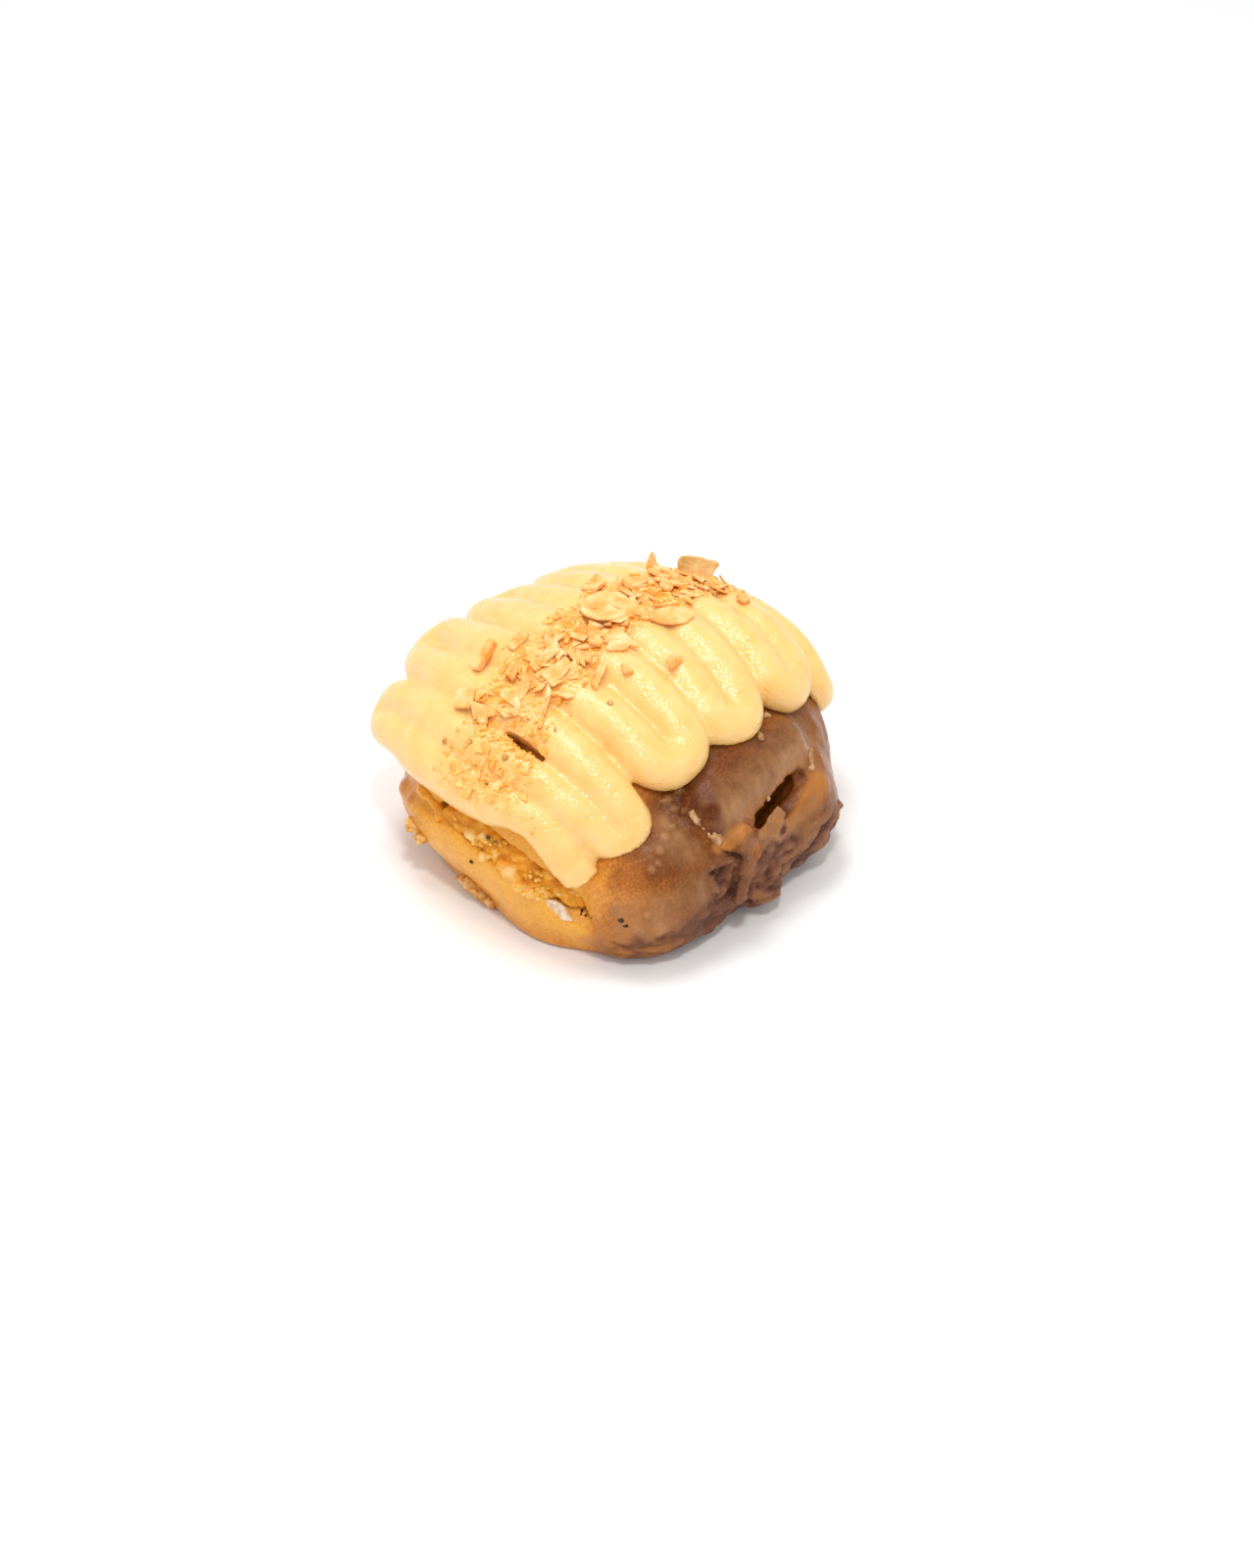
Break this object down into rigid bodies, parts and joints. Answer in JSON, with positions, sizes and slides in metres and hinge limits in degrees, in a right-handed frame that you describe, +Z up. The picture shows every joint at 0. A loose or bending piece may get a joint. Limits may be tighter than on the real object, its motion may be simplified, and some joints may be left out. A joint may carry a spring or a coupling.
{
  "type": "cream-topped sweet bun",
  "caption": "Folded, glazed sweet bun with a zigzag ribbon of piped custard cream over its top and flaked almonds along the middle.",
  "frame": {"origin": "centre of the base, on the plane the bun rests on", "axes": "+Z up, +X along the piping from the ribbon's cut tip to its far end, -Y towards the side with the open fold"},
  "size_m": [0.1025, 0.094, 0.0604],
  "materials": {
    "dough": "baked and glazed enriched dough, orange brown to dark brown, satin sheen",
    "filling": "crumbly baked filling, yellow, matte and uneven",
    "cream": "smooth piped custard cream, pale yellow, moist sheen",
    "almond": "dry flaked almond, pale",
    "almond_skin": "almond piece with some tan skin"
  },
  "bodies": {
    "root": {"bun": "dough", "filling": "filling", "cream": "cream", "almond_round": "almond", "almond_standing": "almond_skin", "almond_curled": "almond", "almond_triangle": "almond", "almond_square": "almond", "almond_stick": "almond", "almond_chip": "almond"}
  },
  "joints": []
}
